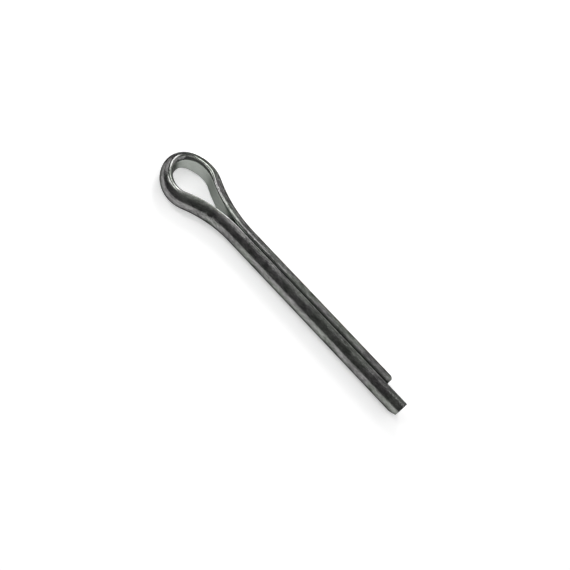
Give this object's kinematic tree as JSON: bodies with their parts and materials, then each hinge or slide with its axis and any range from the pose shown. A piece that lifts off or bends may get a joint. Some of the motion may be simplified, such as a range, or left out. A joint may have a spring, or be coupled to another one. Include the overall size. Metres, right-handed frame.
{
  "type": "cotter pin",
  "caption": "Split pin folded from half-round wire, with an open eye, a round two-prong shank and one prong longer; locks castle nuts, clevis pins and shafts.",
  "frame": {"origin": "on the shank's axis, where the neck bends end and the shank becomes fully round", "axes": "+X along the shank from the eye to the tips; the fold and the eye's opening lie in the XY plane, with the short prong on the +Y side; +Z out of the eye's upper side, so the pin lies flat on a surface"},
  "size_m": [0.0766, 0.0135, 0.0056],
  "materials": {
    "zinc_plated_steel": "satin to semi-bright zinc plate over drawn steel wire, lightly scuffed"
  },
  "bodies": {
    "root": {"split_pin": "zinc_plated_steel"}
  },
  "joints": []
}
